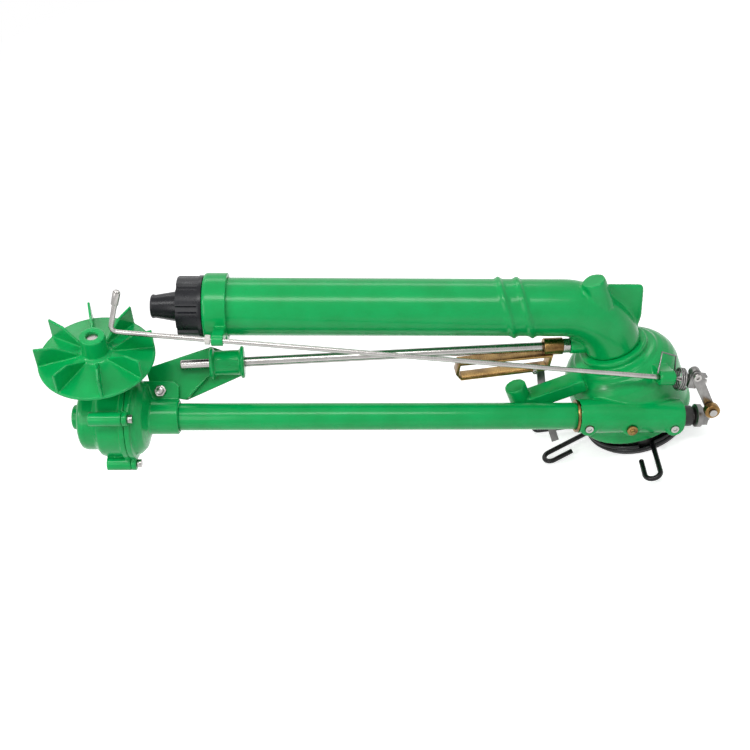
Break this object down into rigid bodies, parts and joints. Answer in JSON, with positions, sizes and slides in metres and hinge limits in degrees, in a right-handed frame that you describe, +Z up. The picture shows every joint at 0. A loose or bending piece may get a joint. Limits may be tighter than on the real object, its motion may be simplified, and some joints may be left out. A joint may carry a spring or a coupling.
{
  "type": "large turbine-driven sprinkler gun",
  "caption": "Green cast sprinkler gun: angled barrel and black nozzle on a turning head, with a bladed turbine, drive tube, jet breaker rod and wire stop rings.",
  "frame": {"origin": "centre of the inlet's bottom face, on the axis the head turns about", "axes": "+Z up along the head's turning axis; the barrel points to -X and 24 degrees up; the drive tube runs on the -Y side"},
  "size_m": [0.7324, 0.2109, 0.4793],
  "materials": {
    "green": "glossy enamel",
    "iron": "dark semi-gloss",
    "steel": "bright stainless",
    "zinc": "dull zinc",
    "brass": "turned brass",
    "black_wire": "black coating",
    "plastic": "moulded black",
    "rubber": "black rubber",
    "white": "pale moulded washer"
  },
  "bodies": {
    "base": {"inlet_base": "iron", "worm_wheel": "brass", "wheel_lock_ring": "zinc"},
    "lower_stop": {"lower_stop_ring": "black_wire"},
    "upper_stop": {"upper_stop_ring": "black_wire"},
    "drive": {"drive_shaft": "steel", "cam": "zinc", "helical_gear": "zinc"},
    "turbine": {"turbine_wheel": "green", "turbine_shaft": "steel", "hub_screw": "steel", "helical_pinion": "zinc"},
    "rocker": {"rock_shaft": "steel", "rock_shaft_nut": "steel", "reversing_frame": "brass", "trip_arm": "zinc"},
    "breaker": {"breaker_rod": "steel", "rod_washer": "white", "breaker_tip": "steel", "arm_clamp": "zinc", "roller_arm": "zinc", "clamp_screw": "steel", "roller_pin": "steel"},
    "roller": {"roller": "brass"},
    "head": {"dome_housing": "green", "neck_bush": "brass", "swivel_seal": "rubber", "bottom_cover": "zinc", "tube_bush": "brass", "rear_bush": "iron", "front_socket_screw": "steel", "rear_socket_screw": "steel", "grease_plug": "brass", "barrel_casting": "green", "barrel_collar": "green", "nozzle_nut": "plastic", "nozzle": "plastic", "stream_vanes": "plastic", "drive_tube": "green", "gearbox_cover": "green", "gearbox_case": "green", "cover_bolt_1": "steel", "cover_bolt_2": "steel", "cover_bolt_3": "steel", "cover_bolt_4": "steel", "cover_bush": "brass", "turbine_bush": "brass", "arm_bracket": "green", "bracket_bolt": "steel", "bracket_nut": "steel", "torsion_spring": "zinc"}
  },
  "joints": [
    {"name": "head_turn", "type": "hinge", "parent": "base", "child": "head", "pos_m": [0, 0, 0.1], "axis": [0, 0, 1], "continuous": true},
    {"name": "lower_stop_turn", "type": "hinge", "parent": "base", "child": "lower_stop", "pos_m": [0, 0, 0.00705], "axis": [0, 0, 1], "continuous": true},
    {"name": "upper_stop_turn", "type": "hinge", "parent": "base", "child": "upper_stop", "pos_m": [0, 0, 0.01325], "axis": [0, 0, 1], "continuous": true},
    {"name": "drive_spin", "type": "hinge", "parent": "head", "child": "drive", "pos_m": [-0.04677, -0.07, 0.08494], "axis": [-0.9135, 0, 0.4067], "continuous": true},
    {"name": "turbine_spin", "type": "hinge", "parent": "head", "child": "turbine", "pos_m": [-0.56907, -0.066, 0.40987], "axis": [0.3955, -0.2334, 0.8883], "continuous": true},
    {"name": "rock_shaft_tilt", "type": "hinge", "parent": "head", "child": "rocker", "pos_m": [-0.06439, -0.008, 0.16339], "axis": [-0.924, -0.0508, 0.379], "range_deg": [-10, 10]},
    {"name": "breaker_swing", "type": "hinge", "parent": "head", "child": "breaker", "pos_m": [0.04452, -0.076, 0.11052], "axis": [-0.8728, 0.0081, 0.4879], "range_deg": [0, 80], "stiffness_Nm_per_rad": 0.15, "springref_deg": -20.05, "deforming": ["torsion_spring"]},
    {"name": "roller_spin", "type": "hinge", "parent": "breaker", "child": "roller", "pos_m": [0.08014, -0.08944, 0.05909], "axis": [-0.0074, -1, 0.0033], "continuous": true}
  ],
  "couplings": [
    {"joint": "drive_spin", "follows": "head_turn", "ratio": 57},
    {"joint": "turbine_spin", "follows": "head_turn", "ratio": 171}
  ]
}
